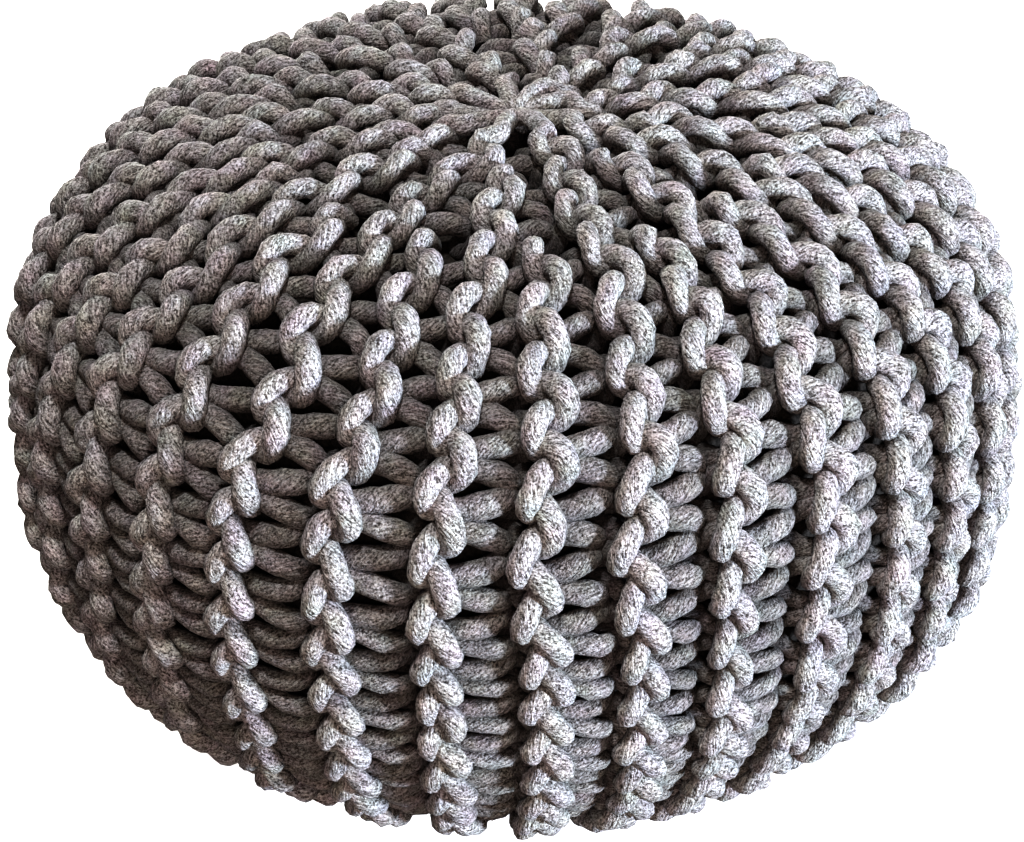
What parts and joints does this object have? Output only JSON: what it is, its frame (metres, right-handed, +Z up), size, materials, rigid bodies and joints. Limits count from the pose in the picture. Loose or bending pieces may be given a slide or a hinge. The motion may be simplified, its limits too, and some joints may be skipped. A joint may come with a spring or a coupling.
{
  "type": "knitted cord pouf",
  "caption": "Round, low floor pouf with a full crown and a flat base, covered in thick grey cord knitted in garter ridges that run from the gathered top down; a soft seat or footrest.",
  "frame": {"origin": "middle of the flat base, on the floor", "axes": "+Z up through the gathered middle of the crown, -Y to the side that the picture shows, +X to its right"},
  "size_m": [0.4988, 0.4995, 0.3108],
  "materials": {
    "cord": "soft matt heather-grey cotton cord of loosely twisted yarns"
  },
  "bodies": {
    "root": {"knitted_pouf": "cord"}
  },
  "joints": []
}
